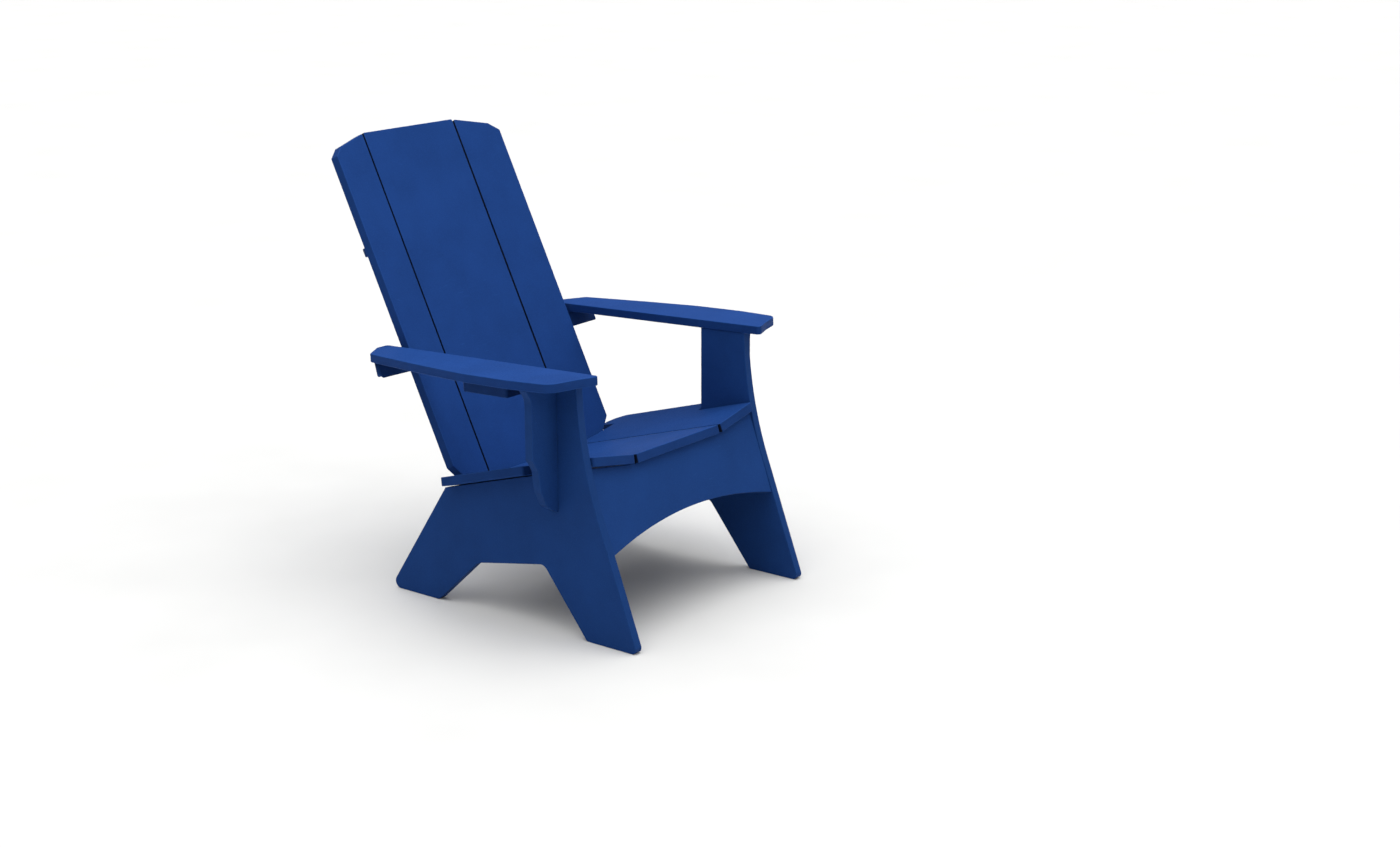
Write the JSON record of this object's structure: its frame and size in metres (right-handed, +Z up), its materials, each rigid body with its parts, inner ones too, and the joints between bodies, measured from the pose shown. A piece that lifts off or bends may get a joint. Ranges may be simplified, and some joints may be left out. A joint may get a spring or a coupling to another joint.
{
  "type": "adirondack chair",
  "caption": "Low outdoor lounge chair of flat blue plastic boards with a raked fan back, a dished sloping seat, broad arms on brackets and arched side panels.",
  "frame": {"origin": "on the floor, at the middle of the chair's width and depth", "axes": "+Z up, the chair faces -Y, +X is the sitter's left"},
  "size_m": [0.783, 0.89, 0.958],
  "materials": {
    "blue_arms": "matte, faint grain",
    "blue_seat": "matte, faint grain",
    "blue_back": "matte, faint grain",
    "blue_frame": "matte, faint grain",
    "stainless": "brushed",
    "dowel": "raw"
  },
  "bodies": {
    "root": {"arm_bracket_left": "blue_frame", "arm_bracket_right": "blue_frame", "arm_crossbar": "blue_frame", "arm_left": "blue_arms", "arm_right": "blue_arms", "back_batten_lower": "blue_frame", "back_batten_upper": "blue_frame", "back_slat_centre": "blue_back", "back_slat_left": "blue_back", "back_slat_right": "blue_back", "cleat_apron_left": "blue_frame", "cleat_apron_right": "blue_frame", "cleat_middle_left": "blue_frame", "cleat_middle_right": "blue_frame", "cleat_rear_left": "blue_frame", "cleat_rear_right": "blue_frame", "dowel_arm_front_left": "dowel", "dowel_arm_front_right": "dowel", "dowel_arm_rear_left": "dowel", "dowel_arm_rear_right": "dowel", "dowel_bracket_lower_left": "dowel", "dowel_bracket_lower_right": "dowel", "dowel_bracket_upper_left": "dowel", "dowel_bracket_upper_right": "dowel", "front_apron": "blue_frame", "screw_apron_left": "stainless", "screw_apron_panel_left": "stainless", "screw_apron_panel_right": "stainless", "screw_apron_right": "stainless", "screw_crossbar_arm_inner_left": "stainless", "screw_crossbar_arm_inner_right": "stainless", "screw_crossbar_arm_outer_left": "stainless", "screw_crossbar_arm_outer_right": "stainless", "screw_crossbar_slat_left": "stainless", "screw_crossbar_slat_right": "stainless", "screw_lower_batten_centre_left": "stainless", "screw_lower_batten_centre_right": "stainless", "screw_lower_batten_left_left": "stainless", "screw_lower_batten_right_right": "stainless", "screw_middle_panel_left": "stainless", "screw_middle_panel_right": "stainless", "screw_rear_panel_left": "stainless", "screw_rear_panel_right": "stainless", "screw_rear_rail_left": "stainless", "screw_rear_rail_right": "stainless", "screw_upper_batten_centre_left": "stainless", "screw_upper_batten_centre_right": "stainless", "screw_upper_batten_left_left": "stainless", "screw_upper_batten_right_right": "stainless", "seat_board_centre": "blue_seat", "seat_board_left": "blue_seat", "seat_board_right": "blue_seat", "seat_rail_middle": "blue_frame", "seat_rail_rear": "blue_frame", "side_panel_left": "blue_frame", "side_panel_right": "blue_frame", "under_arm_block": "blue_frame"}
  },
  "joints": []
}
